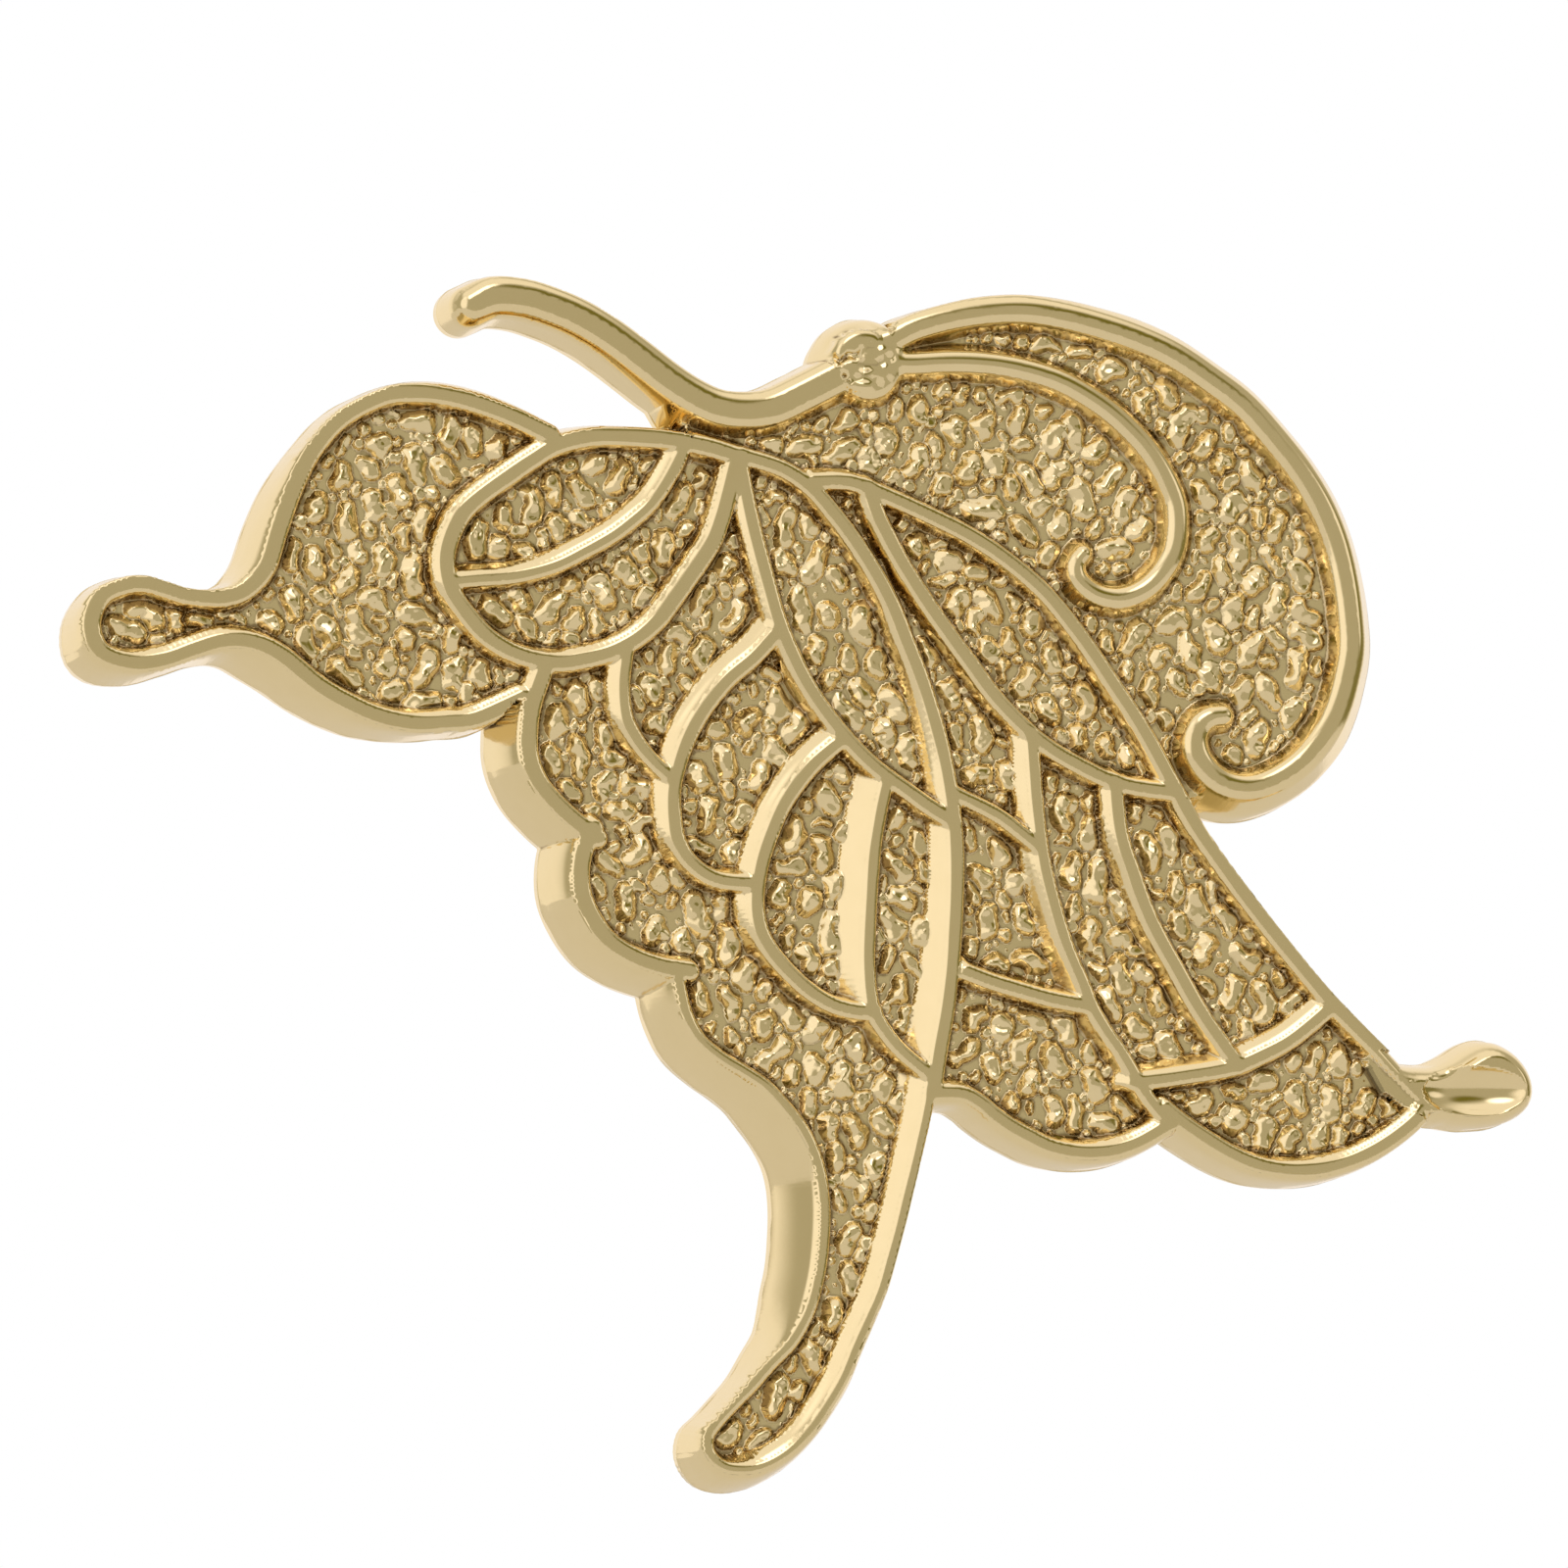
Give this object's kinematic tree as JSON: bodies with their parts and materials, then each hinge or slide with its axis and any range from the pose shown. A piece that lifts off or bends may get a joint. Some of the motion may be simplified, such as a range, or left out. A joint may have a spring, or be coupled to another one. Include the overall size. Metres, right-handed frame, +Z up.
{
  "type": "butterfly cabinet knob",
  "caption": "Cast brass cabinet knob: a side-on butterfly in raised lines over a pebbled ground, on a round post with a blind screw hole.",
  "frame": {"origin": "centre of the screw hole's mouth, in the plane of the post's foot, where the knob meets the door", "axes": "+Y into the door along the screw hole, -Y out through the butterfly's face, +Z up, +X to the right of someone facing the knob"},
  "size_m": [0.0774, 0.0225, 0.0629],
  "materials": {
    "cast_brass": "polished lines over a darker cast ground"
  },
  "bodies": {
    "root": {"butterfly_knob": "cast_brass"}
  },
  "joints": []
}
